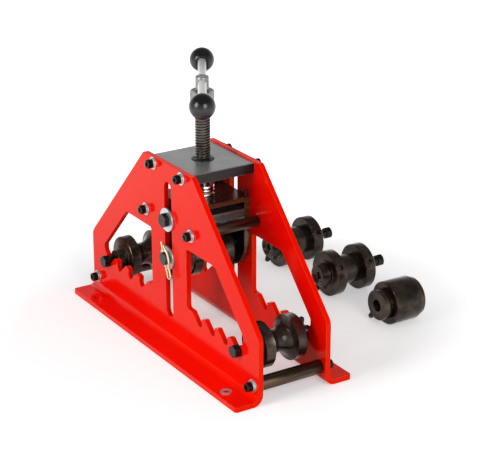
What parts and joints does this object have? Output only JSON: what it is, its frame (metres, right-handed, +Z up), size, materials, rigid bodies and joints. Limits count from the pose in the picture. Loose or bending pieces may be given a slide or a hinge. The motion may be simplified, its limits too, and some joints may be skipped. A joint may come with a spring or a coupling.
{
  "type": "ring roller",
  "caption": "Bench ring roller: a screw presses a grooved top roll down between two lower rolls in toothed side plates; spare flat and plain rolls stand behind.",
  "frame": {"origin": "on the floor, at the centre of the four base holes", "axes": "+X runs along the side plates, +Y across them towards the spare rolls, +Z up along the screw"},
  "size_m": [0.475, 0.432, 0.4023],
  "materials": {
    "red_paint": "high gloss red enamel",
    "black_paint": "satin black",
    "black_oxide": "black oxide",
    "bright_steel": "turned bright steel",
    "polished_rod": "polished",
    "zinc": "zinc plated",
    "yellow_zinc": "yellow zinc plated",
    "black_knob": "polished"
  },
  "bodies": {
    "frame": {"near_side_plate": "red_paint", "far_side_plate": "red_paint", "top_plate": "black_paint", "screw_bush": "black_oxide", "middle_cross_rods": "black_oxide", "base_cross_rods": "black_oxide", "frame_screws": "black_oxide", "frame_lock_washers": "zinc", "frame_washers": "zinc", "bench_washer": "zinc"},
    "carriage": {"near_cheek": "black_oxide", "far_cheek": "black_oxide", "carriage_plate": "black_oxide", "carriage_studs": "black_oxide", "thrust_bar": "bright_steel", "bearing_lower_race": "bright_steel", "bearing_balls": "polished_rod", "bearing_cage": "yellow_zinc", "guide_bolts": "black_oxide", "guide_bushes": "bright_steel", "guide_bolt_washers": "zinc", "axle_washers": "zinc", "top_axle": "bright_steel", "near_spring_clip": "yellow_zinc", "far_spring_clip": "yellow_zinc"},
    "screw": {"main_screw": "bright_steel", "screw_hexagon": "black_oxide", "screw_collar": "bright_steel", "screw_end_nut": "black_oxide", "bearing_upper_race": "bright_steel"},
    "handle": {"handle_rod": "polished_rod", "front_knob": "black_knob", "rear_knob": "black_knob"},
    "top_roll": {"top_roll": "black_oxide"},
    "right_roll": {"right_roll": "black_oxide", "right_set_screws": "black_oxide", "right_axle": "black_oxide"},
    "left_roll": {"left_roll": "black_oxide", "left_set_screws": "black_oxide", "left_axle": "black_oxide"},
    "flat_roll_a": {"flat_roll_a_core": "black_oxide", "flat_roll_a_collars": "black_oxide", "flat_roll_a_collar_screws": "black_oxide", "flat_roll_a_axle": "black_oxide", "flat_roll_a_hub_screws": "black_oxide"},
    "flat_roll_b": {"flat_roll_b_core": "black_oxide", "flat_roll_b_collars": "black_oxide", "flat_roll_b_collar_screws": "black_oxide", "flat_roll_b_axle": "black_oxide", "flat_roll_b_hub_screws": "black_oxide"},
    "plain_roll": {"plain_roll_core": "black_oxide", "plain_roll_set_screw": "black_oxide"}
  },
  "joints": [
    {"name": "carriage_slide", "type": "slide", "parent": "frame", "child": "carriage", "axis": [0, 0, 1], "range_m": [-0.0801, 0.0171]},
    {"name": "screw_turn", "type": "hinge", "parent": "carriage", "child": "screw", "pos_m": [0, 0, 0.3], "axis": [0, 0, 1], "range_deg": [-7200, 1530]},
    {"name": "handle_slide", "type": "slide", "parent": "screw", "child": "handle", "axis": [0.859, -0.512, 0], "range_m": [-0.079, 0.087]},
    {"name": "top_roll_spin", "type": "hinge", "parent": "carriage", "child": "top_roll", "pos_m": [0, 0, 0.1345], "axis": [0, 1, 0], "continuous": true},
    {"name": "right_roll_spin", "type": "hinge", "parent": "frame", "child": "right_roll", "pos_m": [0.1872, 0, 0.0635], "axis": [0, 1, 0], "continuous": true},
    {"name": "left_roll_spin", "type": "hinge", "parent": "frame", "child": "left_roll", "pos_m": [-0.1872, 0, 0.0635], "axis": [0, 1, 0], "continuous": true},
    {"name": "flat_roll_a_lift", "type": "slide", "parent": "frame", "child": "flat_roll_a", "axis": [0, 0, 1], "range_m": [0, 0.12]},
    {"name": "flat_roll_b_lift", "type": "slide", "parent": "frame", "child": "flat_roll_b", "axis": [0, 0, 1], "range_m": [0, 0.12]},
    {"name": "plain_roll_lift", "type": "slide", "parent": "frame", "child": "plain_roll", "axis": [0, 0, 1], "range_m": [0, 0.12]}
  ],
  "couplings": [
    {"joint": "carriage_slide", "follows": "screw_turn", "m_per_rad": 0.00063662}
  ]
}
